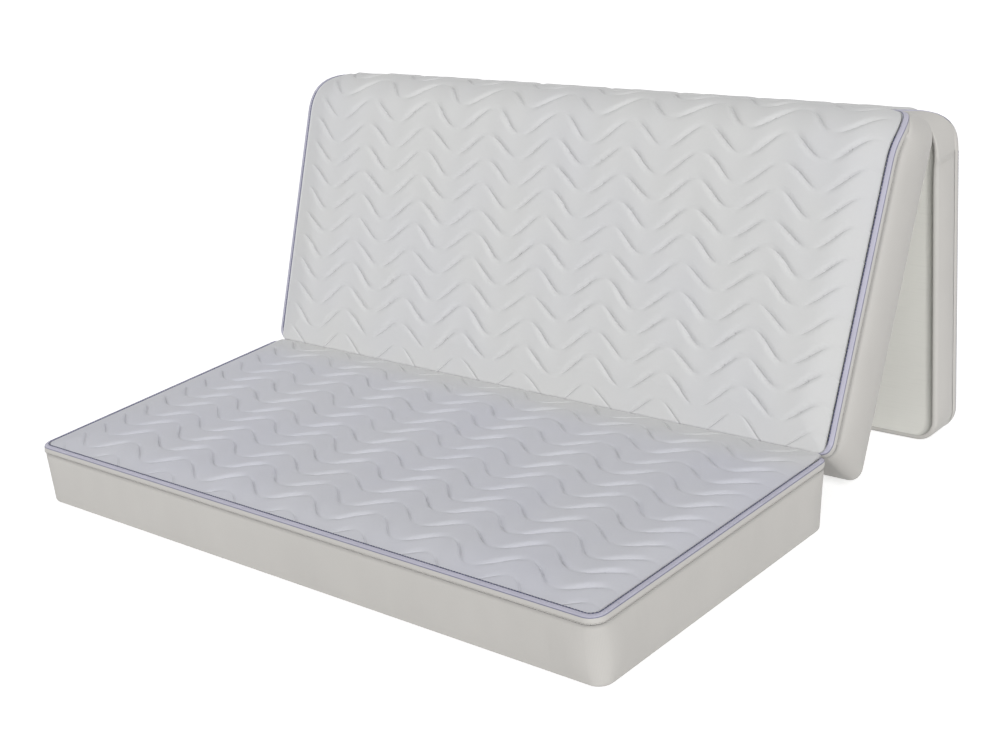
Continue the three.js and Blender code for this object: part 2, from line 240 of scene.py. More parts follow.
# Swelling cloth: pressures, the bulge that the border's pressure is for, and the
# settings of both simulations
QUILT_PRESSURE = 4.0
BORDER_PRESSURE = 350.0
PRESSED_BULGE = 0.006
SWELLING = {
    "quality": 6,
    "mass": 0.3,
    "tension_stiffness": 40,
    "compression_stiffness": 40,
    "shear_stiffness": 20,
    "bending_stiffness": 2.0,
    "use_pressure": True,
    "vertex_group_mass": "held",
}

# The stitched waves stray by low sines: height, and turns for each metre of x and of u
STRAYS = ((0.0024, 19.0, 11.0), (0.0018, -31.0, 47.0))

# Pitches of the tape's ribs, the underside's threads and the plies of the stitches
RIB_PITCH = 0.0011
WEAVE_PITCH = 0.0013
PLY_PITCH = 0.0012

# The photograph's camera: yaw, pitch and roll in degrees, its place, with y counted
# from the seat's fold, the width of its picture in pixels, and its sensor in mm
CAMERA_TURNS = (-44.14, -20.97, -7.28)
CAMERA_PLACE = (2.223, -2.337, 1.390)
PICTURE_WIDTH = 1000.0
SENSOR_WIDTH = 36.0


class Panel:
    """One panel of the mattress: its sizes, and where it stands in the shared frame.
    In its own frame x runs across, y from its low end to its high end and z from its
    underside to its quilted face."""

    def __init__(self, sizes, name, length, high_width, corners, high_round, slants, origin, axes):
        self.sizes = sizes
        self.name = name
        self.body = f"{name}_panel"
        self.length = length
        self.high_width = high_width
        self.low_corner, self.high_corner = corners
        self.round = high_round
        self.low_slant, self.high_slant = slants
        self.high_edge = HINGE_EDGE if high_round else COVER_EDGE
        self.origin = np.array(origin)
        self.axes = np.array(axes)
        self.width = sizes.width
        self.stands_on_end = name == "rear"
        self.thickness = sizes.rear_thickness if self.stands_on_end else sizes.thickness
        self.bulge = sizes.back_bulge if name == "back" else sizes.bulge
        self.core_top = REAR_CORE_TOP if self.stands_on_end else CORE_TOP
        self.band = sizes.tape_width + SEAM_GAP
        self.flat = length - self.round
        self.low = self.band
        self.high = self.flat + self.round * QUARTER if high_round else length - self.band
        self.half = self.width / 2 - self.band
        self.low_radius = self.low_corner - self.band
        self.high_radius = self.high_corner - self.band
        self.low_lap = FOLD_LAP if self.low_slant else 0.0
        self.high_lap = FOLD_LAP if self.high_slant else 0.0

    def sheet(self, x, u, lift):
        """A place on the quilted face, u along it and lift above it. Up to the bend, y = u
        and z = thickness + lift. Round the bend, at the angle a = (u - flat) / radius,
        y = flat + (radius + lift) sin a and z = thickness - radius (1 - cos a) + lift cos a."""
        x, u, lift = np.broadcast_arrays(x, u, lift)
        past = np.maximum(0.0, u - self.flat)
        turn = np.minimum(past / self.round, QUARTER) if self.round else np.zeros_like(u)
        down = np.maximum(0.0, past - self.round * QUARTER)
        y = np.minimum(u, self.flat) + (self.round + lift) * np.sin(turn)
        z = self.thickness - self.round * (1 - np.cos(turn)) - down + lift * np.cos(turn)
        return np.stack([x, y, z], axis=-1)

    def shared(self, points):
        """Panel places in the shared frame. x grows in proportion to the panel's width
        at y, y is drawn back by slant (1 - z / thickness) at the ends that fold, and the
        result is origin + x X + y Y + z Z for the panel's three axes."""
        share = points[..., 1] / self.length
        width = self.width + (self.high_width - self.width) * share
        slant = self.low_slant + (self.high_slant - self.low_slant) * share
        shaped = points.copy()
        shaped[..., 0] *= width / self.width
        shaped[..., 1] -= slant * (1 - points[..., 2] / self.thickness)
        return self.origin + shaped @ self.axes


def make_panels(sizes):
    """The three panels. The back turns about the seat's top rear edge, and the rear
    panel stands upright behind the back's high end."""
    fold = np.array(FOLDS["seat_back_fold"]["pos_m"])
    crest = np.array(FOLDS["back_rear_fold"]["pos_m"])
    up = np.array([0.0, math.sin(sizes.lean), math.cos(sizes.lean)])
    face = np.array([0.0, -math.cos(sizes.lean), math.sin(sizes.lean)])
    half_gap = GAP / 2
    span = np.linalg.norm(crest[1:] - fold[1:])
    back_length = math.sqrt(span**2 - sizes.thickness**2)
    across, along, rise = np.eye(3)
    seat = Panel(
        sizes, "seat", fold[1] - SEAT_LOW.y - half_gap, sizes.width, (SEAT_CORNER, FOLD_CORNER),
        0.0, (0.0, FOLD_SLANT), (0.0, SEAT_LOW.y, 0.0), (across, along, rise),
    )
    back = Panel(
        sizes, "back", back_length - GAP, sizes.top_width, (FOLD_CORNER, TOP_CORNER),
        TOP_ROUND, (FOOT_SLANT, 0.0), fold + half_gap * up - sizes.thickness * face,
        (across, up, face),
    )
    rear = Panel(
        sizes, "rear", crest[2] - half_gap, sizes.top_width, (FREE_CORNER, TOP_CORNER),
        REAR_ROUND, (0.0, 0.0), (0.0, crest[1], 0.0), (-across, rise, along),
    )
    return {panel.name: panel for panel in (seat, back, rear)}


# Meshes from whole arrays


def unit(vectors):
    """The vectors along the last axis, each at length 1."""
    return vectors / np.linalg.norm(vectors, axis=-1, keepdims=True)


def smooth_share(value, low, high):
    """0 below low, 1 above high and s s (3 - 2 s) between, with s their share."""
    share = np.clip((value - low) / (high - low), 0.0, 1.0)
    return share * share * (3 - 2 * share)


def make_object(name, points, quads, polygons, places):
    """A mesh object from points, an array of quads and a few larger polygons. Places
    holds each point's place on its cloth, kept as the attribute cloth_place."""
    mesh = bpy.data.meshes.new(name)
    corners = np.concatenate([quads.reshape(-1), *[np.asarray(p) for p in polygons]])
    sizes = np.concatenate([np.full(len(quads), 4), [len(p) for p in polygons]]).astype(int)
    starts = np.concatenate([[0], np.cumsum(sizes)[:-1]])
    mesh.vertices.add(len(points))
    mesh.vertices.foreach_set("co", points.astype(np.float32).reshape(-1))
    mesh.loops.add(len(corners))
    mesh.loops.foreach_set("vertex_index", corners.astype(np.int32))
    mesh.polygons.add(len(sizes))
    mesh.polygons.foreach_set("loop_start", starts.astype(np.int32))
    mesh.update(calc_edges=True)
    mesh.validate()
    if volume_of(mesh) < 0:
        mesh.flip_normals()
    layer = mesh.attributes.new("cloth_place", "FLOAT_VECTOR", "POINT")
    layer.data.foreach_set("vector", places.astype(np.float32).reshape(-1))
    mesh.polygons.foreach_set("use_smooth", np.ones(len(sizes), dtype=bool))
    thing = bpy.data.objects.new(name, mesh)
    bpy.context.scene.collection.objects.link(thing)
    return thing


def volume_of(mesh):
    """Six times the signed volume that a closed mesh holds, from its triangles."""
    mesh.calc_loop_triangles()
    corners = np.empty(len(mesh.loop_triangles) * 3, np.int32)
    mesh.loop_triangles.foreach_get("vertices", corners)
    places = np.empty(len(mesh.vertices) * 3, np.float32)
    mesh.vertices.foreach_get("co", places)
    a, b, c = places.reshape(-1, 3)[corners.reshape(-1, 3)].astype(float).transpose(1, 0, 2)
    return float(np.einsum("ij,ij->", a, np.cross(b, c)))


def grid_quads(rows, columns, closed_rows=False, closed_columns=False):
    """Quads between neighbours of a grid whose points are numbered row by row."""
    i = np.arange(rows if closed_rows else rows - 1)[:, None]
    j = np.arange(columns if closed_columns else columns - 1)[None, :]
    below, beside = (i + 1) % rows, (j + 1) % columns
    corners = [i * columns + j, i * columns + beside, below * columns + beside, below * columns + j]
    return np.stack([c.reshape(-1) for c in np.broadcast_arrays(*corners)], axis=1)


def tube(name, sections, places, open_ends=False):
    """A closed body from sections carried along a path. Sections is stations by points
    by 3. The last station joins the first, or two flat faces close an open one."""
    stations, points = sections.shape[:2]
    quads = grid_quads(stations, points, closed_rows=not open_ends, closed_columns=True)
    ring = np.arange(points)
    ends = [ring[::-1], ring + (stations - 1) * points] if open_ends else []
    return make_object(name, sections.reshape(-1, 3), quads, ends, places.reshape(-1, 3))


def slab(name, top, under, places):
    """A closed body with a full grid on top. Under it only the rim is kept: a wall
    runs down to it, and strips from side to side close the bottom."""
    rows, columns = top.shape[:2]
    count = rows * columns
    grid = np.arange(count).reshape(rows, columns)
    rim = np.concatenate([grid[0, :], grid[1:, -1], grid[-1, -2::-1], grid[-2:0:-1, 0]])
    lower = np.arange(len(rim)) + count
    points = np.concatenate([top.reshape(-1, 3), under.reshape(-1, 3)[rim]])
    all_places = np.concatenate([places.reshape(-1, 3), places.reshape(-1, 3)[rim]])
    wall = np.stack([rim, lower, np.roll(lower, -1), np.roll(rim, -1)], axis=1)
    low_row = lower[:columns]
    right = lower[columns - 1 : columns + rows - 1]
    high_row = lower[columns + rows - 2 : 2 * columns + rows - 2]
    left = np.concatenate([[lower[0]], lower[2 * columns + rows - 2 :][::-1], [high_row[-1]]])
    strips = np.stack([left[1:-2], right[1:-2], right[2:-1], left[2:-1]], axis=1)
    ends = [
        np.concatenate([low_row[::-1], [left[1], right[1]]])[::-1],
        np.concatenate([high_row[::-1], [right[-2], left[-2]]])[::-1],
    ]
    quads = np.concatenate([grid_quads(rows, columns), wall[:, ::-1], strips])
    return make_object(name, points, quads, ends, all_places)


# The seam between quilt and tape


def seam_loop(panel, step):
    """The seam as a closed loop: x, u and the direction out of the quilt, at stations
    step apart on the straights and 15 to a round corner. It runs down the left side,
    along the low end, up the right side and back along the high end."""
    half, low, high = panel.half, panel.low, panel.high

    def straight(x0, u0, x1, u1, out):
        count = max(2, int(round(math.hypot(x1 - x0, u1 - u0) / step)))
        share = np.linspace(0.0, 1.0, count + 1)[1:-1]
        run = np.stack([x0 + (x1 - x0) * share, u0 + (u1 - u0) * share], axis=1)
        return np.concatenate([run, np.tile(out, (len(run), 1))], axis=1)

    def corner(x, u, radius, start):
        angle = start + np.linspace(0.0, QUARTER, 15)
        out = np.stack([np.cos(angle), np.sin(angle)], axis=1)
        return np.concatenate([np.array([x, u]) + radius * out, out], axis=1)

    low_x, high_x = half - panel.low_radius, half - panel.high_radius
    low_u, high_u = low + panel.low_radius, high - panel.high_radius
    return np.concatenate([
        straight(-half, high_u, -half, low_u, (-1.0, 0.0)),
        corner(-low_x, low_u, panel.low_radius, 2 * QUARTER),
        straight(-low_x, low, low_x, low, (0.0, -1.0)),
        corner(low_x, low_u, panel.low_radius, 3 * QUARTER),
        straight(half, low_u, half, high_u, (1.0, 0.0)),
        corner(high_x, high_u, panel.high_radius, 0.0),
        straight(high_x, high, -high_x, high, (0.0, 1.0)),
        corner(-high_x, high_u, panel.high_radius, QUARTER),
    ])


def beside_seam(panel, loop, out, lift):
    """Places at a distance out of the quilt and above the sheet, at each station."""
    x = loop[:, None, 0] + out * loop[:, None, 2]
    u = loop[:, None, 1] + out * loop[:, None, 3]
    return panel.sheet(x, u, lift)


def run_along(points):
    """Distance from the first point of a line to each of its points."""
    steps = np.linalg.norm(np.diff(points, axis=0), axis=1)
    return np.concatenate([[0.0], np.cumsum(steps)])


def plan_loop(panel, loop):
    """The panel's outline seen from above, under the tape's outer edge, and the level
    direction out of it: the tangent between neighbours, turned a quarter."""
    outline = beside_seam(panel, loop, panel.band, 0.0)[:, 0, :2]
    along = unit(outline - np.roll(outline, 1, axis=0))
    along = along + unit(np.roll(outline, -1, axis=0) - outline)
    return outline, unit(np.stack([along[:, 1], -along[:, 0]], axis=1))


# Cloth that swells


def swell(points, pinned, pressure, cap, frames=20):
    """How far each point of a grid of cloth moves when it is blown up from below with
    its pinned points held. A move m becomes cap tanh(m / cap), so none passes cap."""
    rows, columns = points.shape[:2]
    quads = grid_quads(rows, columns)
    mesh = bpy.data.meshes.new("swelling")
    mesh.from_pydata(points.reshape(-1, 3).tolist(), [], quads.tolist())
    mesh.update()
    cloth_object = bpy.data.objects.new("swelling", mesh)
    scene = bpy.context.scene
    scene.collection.objects.link(cloth_object)
    held = cloth_object.vertex_groups.new(name="held")
    held.add(np.flatnonzero(pinned.reshape(-1)).tolist(), 1.0, "REPLACE")
    cloth = cloth_object.modifiers.new("cloth", "CLOTH")
    for key, value in SWELLING.items():
        setattr(cloth.settings, key, value)
    cloth.settings.uniform_pressure_force = pressure
    cloth.settings.effector_weights.gravity = 0
    cloth.collision_settings.use_collision = False
    cloth.point_cache.frame_start = 1
    cloth.point_cache.frame_end = frames
    for number in range(1, frames + 1):
        scene.frame_set(number)
    depsgraph = bpy.context.evaluated_depsgraph_get()
    evaluated = cloth_object.evaluated_get(depsgraph).data
    moved = np.empty(rows * columns * 3, np.float32)
    evaluated.vertices.foreach_get("co", moved)
    bpy.data.objects.remove(cloth_object)
    bpy.data.meshes.remove(mesh)
    scene.frame_set(1)
    move = moved.reshape(points.shape).astype(float) - points
    far = np.maximum(np.linalg.norm(move, axis=-1, keepdims=True), 1e-9)
    return move * (cap * np.tanh(far / cap) / far)


def sample(field, rows, columns):
    """Values of a coarse grid at rows by columns, given as shares from 0 to 1: straight
    blends of the four grid points round each place."""
    i = np.clip(rows, 0, 1) * (field.shape[0] - 1)
    j = np.clip(columns, 0, 1) * (field.shape[1] - 1)
    i0 = np.minimum(i.astype(int), field.shape[0] - 2)
    j0 = np.minimum(j.astype(int), field.shape[1] - 2)
    a, b = i - i0, j - j0
    near = field[i0, j0] * (1 - b) + field[i0, j0 + 1] * b
    far = field[i0 + 1, j0] * (1 - b) + field[i0 + 1, j0 + 1] * b
    return near * (1 - a) + far * a


# Pieces


def quilt_rows(panel, step):
    """Places along the sheet: close together at the round corners, even between."""
    def corner_rows(radius):
        count = max(12, int(radius * QUARTER / step))
        return radius * (1 - np.cos(np.linspace(0.0, QUARTER, count)))

    start = panel.low - panel.low_lap + corner_rows(panel.low_radius)
    end = panel.high + panel.high_lap - corner_rows(panel.high_radius)[::-1]
    count = int(round((end[0] - start[-1]) / step))
    middle = np.linspace(start[-1], end[0], count + 1)[1:-1]
    return np.concatenate([start, middle, end])


def half_width(panel, u):
    """Half the quilt's width at u: less where a round corner of radius r cuts it, by
    r - sqrt(r r - (r - run) (r - run)) at a distance run from the end."""
    def cut(radius, run):
        rest = np.clip(radius - run, 0.0, radius)
        return radius - np.sqrt(radius * radius - rest * rest)

    low_cut = cut(panel.low_radius, u - panel.low + panel.low_lap)
    return panel.half - low_cut - cut(panel.high_radius, panel.high + panel.high_lap - u)


def quilt_crown(panel, cap):
    """The swelling of a whole quilted face, as a coarse grid of heights. Cloth pinned
    to the tape is blown up from below."""
    rows = np.linspace(-1.0, 1.0, 44)[:, None]
    columns = np.linspace(-1.0, 1.0, 92)[None, :]
    u = (panel.low + panel.high + (panel.high - panel.low) * rows) / 2
    x, u, level = np.broadcast_arrays(columns * panel.half, u, 0.0)
    pinned = np.ones(x.shape, bool)
    pinned[1:-1, 1:-1] = False
    return swell(np.stack([x, u, level], axis=-1), pinned, QUILT_PRESSURE, cap)[..., 2]


def wave_phase(sizes, x, along, u, sine, cosine):
    """The turn of a stitched wave, 2 pi x / wave length, and its phase, which counts
    the waves: (along - rise cos(turn) + strays) / pitch, with along measured from the
    tape and each stray h sin(a x + b u). It takes numbers or wires."""
    turn = x * (2 * math.pi / sizes.wave_length)
    height = along - cosine(turn) * sizes.wave_rise
    for rise, across_rate, along_rate in STRAYS:
        height = height + sine(x * across_rate + u * along_rate) * rise
    return turn, height / sizes.pitch


def edge_envelope(panel, x, u, half):
    """How freely the quilt may stand up: 0 at the tape, and 1 - (1 - run / reach) to a
    power within reach of it. The reach is short beside a fold."""
    low_reach = FOLD_RUN if panel.low_lap else EDGE_RUN
    high_reach = FOLD_RUN if panel.high_lap else EDGE_RUN
    low_run = (u - panel.low + panel.low_lap) / low_reach
    high_run = (panel.high + panel.high_lap - u) / high_reach
    run = np.minimum((half - np.abs(x)) / EDGE_RUN, np.minimum(low_run, high_run))
    return 1 - (1 - np.clip(run, 0.0, 1.0)) ** 2.4


def make_quilt(panel):
    """A quilted face. Above the sheet it stands envelope (crown + puff depth). Puff is
    1 - |2 f - 1|^5, f being the share of the way from one stitched wave to the next,
    and depth is greatest where a wave runs steepest, with low sines to loosen it."""
    sizes = panel.sizes
    rows = quilt_rows(panel, sizes.mesh_step)
    columns = int(round(2 * panel.half / sizes.mesh_step))
    half = half_width(panel, rows)[:, None]
    x = half * np.linspace(-1.0, 1.0, columns + 1)[None, :]
    u = np.repeat(rows[:, None], columns + 1, axis=1)
    crown = quilt_crown(panel, sizes.crown)
    crown = sample(crown, (u - panel.low) / (panel.high - panel.low), (x / panel.half + 1) / 2)
    turn, phase = wave_phase(sizes, x, u - panel.low, u, np.sin, np.cos)
    between = phase - np.floor(phase)
    steep = np.sin(turn + 0.2 * np.sin(9.1 * u + 3.0)) ** 2
    loose = 1 + 0.16 * np.sin(7.3 * x + 31.0 * u) + 0.12 * np.sin(23.0 * x - 17.0 * u + 1.0)
    depth = (0.22 + 0.78 * steep) * loose
    line = 1 - np.abs(2 * between - 1) ** 5
    puff = sizes.puff * (line * depth + 0.8 * (1 - depth))
    lift = edge_envelope(panel, x, u, half) * (crown + puff)
    for lap, run in ((panel.low_lap, u), (panel.high_lap, panel.length - u)):
        if lap:
            rest = FOLD_REST * smooth_share(FOLD_RUN - run, 0.0, FOLD_RUN)
            lift = np.minimum(lift, FOLD_RISE * run) + rest
    top = panel.shared(panel.sheet(x, u, lift))
    over_tape = (u < panel.low - 0.001) | (u > panel.high + 0.001)
    over_tape = over_tape & bool(panel.low_lap or panel.high_lap)
    under = panel.shared(panel.sheet(x, u, np.where(over_tape, lift - 0.001, -QUILT)))
    return slab(f"{panel.name}_quilted_face", top, under, np.stack([x, u, lift], axis=-1))


def under_edge(panel, y):
    """Radius of the edge between border and underside. It fades from COVER_EDGE to
    the panel's own at its high end."""
    blend = smooth_share(y, panel.length - TOP_CORNER, panel.length - HINGE_EDGE)
    return COVER_EDGE + (panel.high_edge - COVER_EDGE) * blend


def border_top(panel, loop, y):
    """Height of the border's top edge. On a side it comes down along a quarter ellipse,
    low + (side - low) sqrt(1 - s s), with s the share of the bend, and round a corner
    and along a bent end it stays just below the tape."""
    edge = beside_seam(panel, loop, panel.band, 0.0)[:, 0, 2]
    beneath = beside_seam(panel, loop, panel.band, -QUILT)[:, 0, 2]
    if not panel.round:
        return beneath - GAP
    bend_low = panel.thickness - panel.round
    side = panel.thickness - QUILT - GAP
    reach = panel.round - QUILT - ARC_GAP
    share = np.clip((y - panel.flat) / reach, 0.0, 1.0)
    bent = bend_low + (side - bend_low) * np.sqrt(1 - share * share)
    closed = edge - GAP - TAPE_RADIUS * (edge - beneath) / QUILT
    turned = smooth_share(loop[:, 3], 0.02, 0.4)
    return bent + (closed - bent) * turned


def border_bulge(panel, heights, outline, out):
    """How far the border stands out of the panel, stations by heights. A strip of cloth
    round the outline, pinned at the tape and at the lower edge, is blown up outwards."""
    stations = len(outline)
    free = free_share(panel, outline)[:, None]
    strip = np.zeros((stations + 1, 9, 3))
    strip[..., :2] = np.concatenate([outline, outline[:1]])[:, None, :]
    strip[..., 2] = np.linspace(panel.thickness - QUILT, COVER_EDGE, strip.shape[1])
    pinned = np.ones(strip.shape[:2], bool)
    pinned[1:-1, 1:-1] = False
    pressure = BORDER_PRESSURE * (panel.bulge / PRESSED_BULGE) ** 3
    move = swell(strip, pinned, pressure, panel.bulge)
    outward = np.einsum("ijk,ik->ij", move[:-1, :, :2], out)
    row, share = np.broadcast_arrays(np.linspace(0.0, 1.0, stations)[:, None], 1 - heights)
    return free * sample(outward, row, share)


def free_share(panel, outline):
    """1 along the free sides of a panel and 0 along an end that folds against another."""
    y = outline[:, 1]
    share = np.ones(len(y))
    if panel.low_slant or panel.stands_on_end:
        share = share * smooth_share(y, 0.004, 0.04)
    return share * smooth_share(panel.length - y, 0.004, 0.03 if panel.high_slant else 0.05)


def make_border(panel):
    """The border: a section carried round the panel's outline. From the underside it
    rounds the lower edge, rises to the tape, reaches in under the tape's lower edge,
    comes down 4 mm inside and ends in a lip round the underside."""
    loop = seam_loop(panel, SEAM_STEP)
    outline, out = plan_loop(panel, loop)
    edge = under_edge(panel, outline[:, 1])[:, None]
    top = border_top(panel, loop, outline[:, 1])[:, None]
    fold = np.maximum(edge, CLOTH) + LIP_BEVEL
    cloth = np.full_like(edge, CLOTH)
    angle = np.linspace(QUARTER, 0.0, 8)[None, :]
    heights = np.linspace(0.0, 1.0, 15)[1:]
    along = run_along(outline)
    bulge = border_bulge(panel, heights, outline, out)
    crease = 0.0006 * np.sin(along * 61.0 + 4 * np.sin(along * 7.0)) * free_share(panel, outline)
    bulge = bulge + crease[:, None] * np.sin(math.pi * heights)[None, :] ** 2
    turn_in = 0.0012 * smooth_share(heights, 0.93, 1.0)[None, :]
    insets = [edge * (1 - np.cos(angle)), turn_in - bulge, cloth, cloth, fold, fold + LIP, fold + LIP]
    levels = [edge * (1 - np.sin(angle)), edge + (top - edge) * heights, top, fold, cloth, cloth, 0 * cloth]
    inset, level = np.concatenate(insets, axis=1), np.concatenate(levels, axis=1)
    plan = outline[:, None, :] - inset[..., None] * out[:, None, :]
    points = np.concatenate([plan, level[..., None]], axis=-1)
    places = np.stack([np.broadcast_to(along[:, None], inset.shape), level, inset], axis=-1)
    outer = angle.size + heights.size
    tip = beside_seam(panel, loop, panel.band - 0.0005, -QUILT - GAP)
    points = np.concatenate([points[:, :outer], tip, points[:, outer:]], axis=1)
    places = np.concatenate([places[:, :outer], places[:, outer - 1 :]], axis=1)
    return tube(f"{panel.name}_side_border", panel.shared(points), places)


def make_underside(panel):
    """The cloth under a panel: a flat slab whose outline runs just inside the border's
    lip, with a dip of 0.4 (1 - across^6) (1 - along^6) millimetres between its edges."""
    outline, out = plan_loop(panel, seam_loop(panel, FINE_STEP))
    fold = np.maximum(under_edge(panel, outline[:, 1]), CLOTH) + LIP_BEVEL
    rim = outline - (fold + LIP + GAP)[:, None] * out
    right = rim[(rim[:, 0] > 0) & (np.abs(out[:, 1]) < 0.999)]
    right = right[np.argsort(right[:, 1])]
    low, high = right[[0, -1], 1]
    rows = low + (high - low) * (0.5 - 0.5 * np.cos(np.linspace(0.0, math.pi, 70)))
    share = np.linspace(-1.0, 1.0, 95)[None, :]
    x = np.interp(rows, right[:, 1], right[:, 0])[:, None] * share
    y = np.broadcast_to(rows[:, None], x.shape)
    along = (2 * y - low - high) / (high - low)
    dip = 0.0002 + 0.0004 * (1 - np.abs(share) ** 6) * (1 - np.abs(along) ** 6)
    face = np.stack([x, y, dip], axis=-1)
    inner = np.stack([x, y, np.full_like(x, CLOTH)], axis=-1)
    return slab(f"{panel.name}_bottom_cloth", panel.shared(face), panel.shared(inner), face)


def make_tape(panel):
    """The binding tape: a band that lies on the quilt's edge, rounds the panel's top
    edge and comes down to the border. Its corner is a quarter circle and its two
    visible faces are low arches. Where quilts fold together it lies TAPE_SINK deeper."""
    loop = seam_loop(panel, SEAM_STEP)
    band = panel.band
    run = np.linspace(0.0, 1.0, 7)
    turn = np.linspace(0.0, QUARTER, 6)[1:]
    arch = TAPE_ARCH * np.sin(math.pi * run)
    top_lift = TAPE_DIP * (np.minimum(1.0, 4 * run) - 1.0) + arch
    side_out = band + arch - TAPE_DIP * np.maximum(0, 4 * run - 3)
    out = np.concatenate([
        SEAM_GAP + (band - TAPE_RADIUS - SEAM_GAP) * run,
        band + TAPE_RADIUS * (np.sin(turn) - 1), side_out[1:], [SEAM_GAP],
    ])
    lift = np.concatenate([
        top_lift, TAPE_RADIUS * (np.cos(turn) - 1),
        -TAPE_RADIUS + (TAPE_RADIUS - QUILT) * run[1:], [-QUILT],
    ])
    folds = bool(panel.high_lap) - bool(panel.low_lap)
    folded = smooth_share(folds * loop[:, 3], 0.3, 0.95)
    sunk = np.where(lift > -QUILT, TAPE_SINK, 0.0)[None, :] * folded[:, None]
    points = beside_seam(panel, loop, out[None, :], lift[None, :] - sunk)
    across = run_along(np.stack([out, lift], axis=1))
    along = run_along(beside_seam(panel, loop, band / 2, 0.0)[:, 0])
    places = np.stack(np.broadcast_arrays(along[:, None], across[None, :], 0.0), axis=-1)
    return tube(f"{panel.name}_edge_tape", panel.shared(points), places)


def stitched_run(panel, side):
    """Stations of the seam that carry stitching: the sides and the low end, or on the
    back panel one side alone. They stop short of the corners of the high end."""
    loop = seam_loop(panel, FINE_STEP)
    limit = panel.high - panel.high_radius - (0.0 if panel.round else 0.012)
    kept = loop[loop[:, 1] <= limit + 1e-9]
    outward = {"left": -kept[:, 2], "right": kept[:, 2]}.get(side)
    return kept if outward is None else kept[outward > 0.999]


def make_stitching(panel, name, side, out, lift, upright):
    """A row of stitches: short rods of thread along the seam whose ends dive into the
    tape. A rod's height is h sin(pi s) at the share s of its length, and the pitch is
    the stitch length and a gap. The rods stand on the tape's top, or on its side."""
    run = stitched_run(panel, side)
    line = beside_seam(panel, run, out, lift)[:, 0]
    step = 0.001
    beyond = (out, lift + step) if upright else (out + step, lift)
    normal = (beside_seam(panel, run, *beyond)[:, 0] - line) / step
    far = run_along(line)
    stitch = panel.sizes.stitch
    count = int(far[-1] / (stitch * 1.3))
    start = (np.arange(count) + 0.15) * far[-1] / count
    steps = np.linspace(0.0, 1.0, 6)
    place = start[:, None] + stitch * steps[None, :]

    def along_line(where, values):
        return np.stack([np.interp(where, far, values[:, k]) for k in range(3)], axis=-1)

    up = along_line(place, normal)
    along = unit(along_line(place + 1e-4, line) - along_line(place - 1e-4, line))
    aside = unit(np.cross(along, up))
    rise = THREAD * (0.9 * np.sin(math.pi * steps) - 0.35)
    centre = along_line(place, line) + up * rise[None, :, None]
    girth = np.linspace(0.0, 2 * math.pi, 7)[:-1]
    radius = THREAD * 0.62 * np.sqrt(np.clip(1 - (2 * steps - 1) ** 6, 0.15, 1))
    ring = np.cos(girth)[:, None] * aside[:, :, None, :] + np.sin(girth)[:, None] * up[:, :, None, :]
    points = centre[:, :, None, :] + radius[None, :, None, None] * ring
    sections, sides = len(steps), len(girth)
    template = grid_quads(sections, sides, closed_columns=True)
    size = sections * sides
    quads = (template[None, :, :] + size * np.arange(count)[:, None, None]).reshape(-1, 4)
    caps = [np.arange(sides)[::-1], np.arange(sides) + size - sides]
    ends = [cap + size * k for k in range(count) for cap in caps]
    places = np.stack(np.broadcast_arrays(place[..., None], girth, 0.0), axis=-1)
    return make_object(name, panel.shared(points.reshape(-1, 3)), quads, ends, places.reshape(-1, 3))


def foam_outline(panel, height, inset, high_inset):
    """One level outline of a foam block, with round corners."""
    half = panel.width / 2 - inset
    low_corner = panel.low_corner - inset
    high_corner = (FOAM_CORNER if panel.round else panel.high_corner) - inset
    low, high = inset + low_corner, panel.length - high_inset - high_corner
    runs = ((-1, low, low_corner, 2), (1, low, low_corner, 3), (1, high, high_corner, 0),
            (-1, high, high_corner, 1))
    parts = []
    for side, middle, radius, quarters in runs:
        angle = QUARTER * (quarters + np.linspace(0.0, 1.0, 9))
        x = side * (half - radius) + radius * np.cos(angle)
        y = middle + radius * np.sin(angle)
        parts.append(np.stack([x, y, np.full_like(x, height)], axis=1))
    return np.concatenate(parts)


def foam_side_inset(height):
    """How far a foam block stays in from the sides: more beside the lower edge."""
    side = CLOTH + GAP
    return max(side, side + UNDER_EDGE + LIP_BEVEL + GAP - height)


def foam_high_inset(panel, height):
    """How far a foam block stays back from a bent high end: clear of the arc of the
    quilt, at radius - sqrt(r r - above above)."""
    if not panel.round:
        return foam_side_inset(height)
    radius = panel.round - QUILT - ARC_GAP
    above = max(0.0, height - panel.thickness + panel.round)
    bent = panel.round - math.sqrt(max(0.0, radius * radius - above * above))
    return max(foam_side_inset(height), bent)


def make_block(panel, name, low, high):
    """A foam block between two heights, stacked from level outlines, with softened
    upper and lower edges."""
    levels = []
    for height in np.linspace(low, high, 18):
        soft = 0.0006 * (1 - math.sin(math.pi * (height - low) / (high - low)))
        inset, high_inset = foam_side_inset(height) + soft, foam_high_inset(panel, height) + soft
        levels.append(foam_outline(panel, height, inset, high_inset))
    places = np.stack(levels)
    return tube(name, panel.shared(places), places, open_ends=True)


